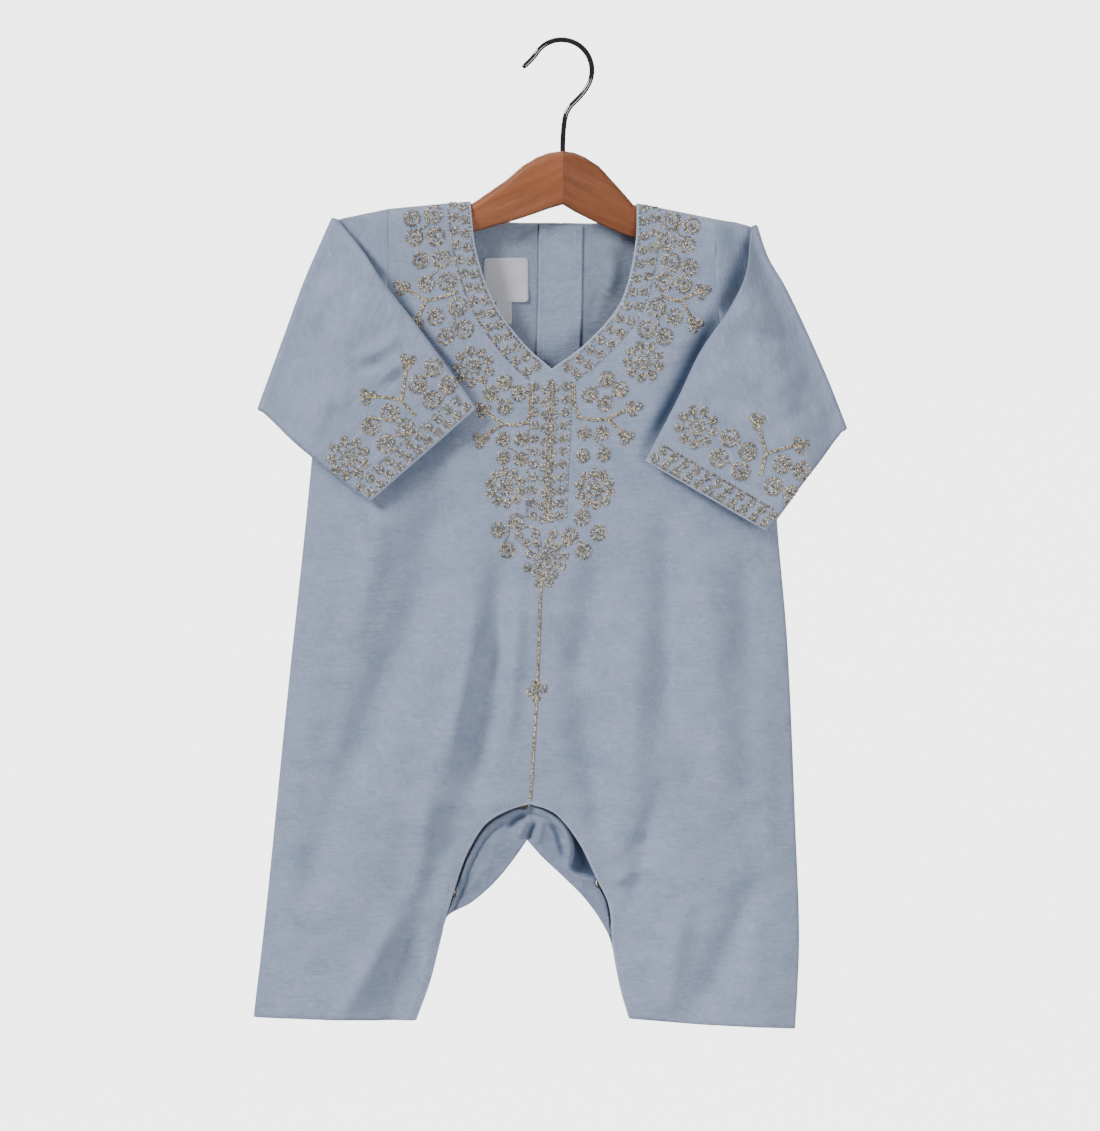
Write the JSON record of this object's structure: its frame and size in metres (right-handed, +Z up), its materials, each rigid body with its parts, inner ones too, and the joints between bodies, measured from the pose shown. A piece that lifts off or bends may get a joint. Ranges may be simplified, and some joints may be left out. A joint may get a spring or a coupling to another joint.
{
  "type": "baby jalabiya onesie on a wooden hanger",
  "caption": "Light blue baby romper with an embroidered V neck, wide sleeves folded forward and a snapped crotch, hanging flat on a small wooden hanger.",
  "frame": {"origin": "inside of the hook's top, where a rail carries the hanger", "axes": "+Z up, the front of the garment faces -Y, +X to the right of someone who looks at the front"},
  "size_m": [0.3406, 0.0371, 0.5696],
  "materials": {
    "cloth": "fine plain-woven pale blue cotton, softly slubbed",
    "cloth_inside": "the same cotton, its inner face",
    "metal_thread": "silver-beige metallic embroidery thread",
    "white_tape": "white woven label tape, blank",
    "snap_metal": "small nickel-plated ring snaps",
    "button": "pale blue pearly shirt buttons",
    "wood": "reddish brown lacquered beech",
    "wire": "bright chromed steel wire"
  },
  "bodies": {
    "root": {"front_panel": "cloth", "back_panel_left": "cloth", "back_panel_right": "cloth", "sleeve_left": "cloth", "sleeve_right": "cloth", "crotch_flap": "cloth", "placket_facing": "cloth_inside", "back_placket": "cloth", "neck_label": "white_tape", "size_tab": "white_tape", "snap_left": "snap_metal", "snap_centre": "snap_metal", "snap_right": "snap_metal", "back_button_1": "button", "back_button_2": "button", "back_button_3": "button", "hanger_wood": "wood", "hanger_hook": "wire"}
  },
  "joints": []
}
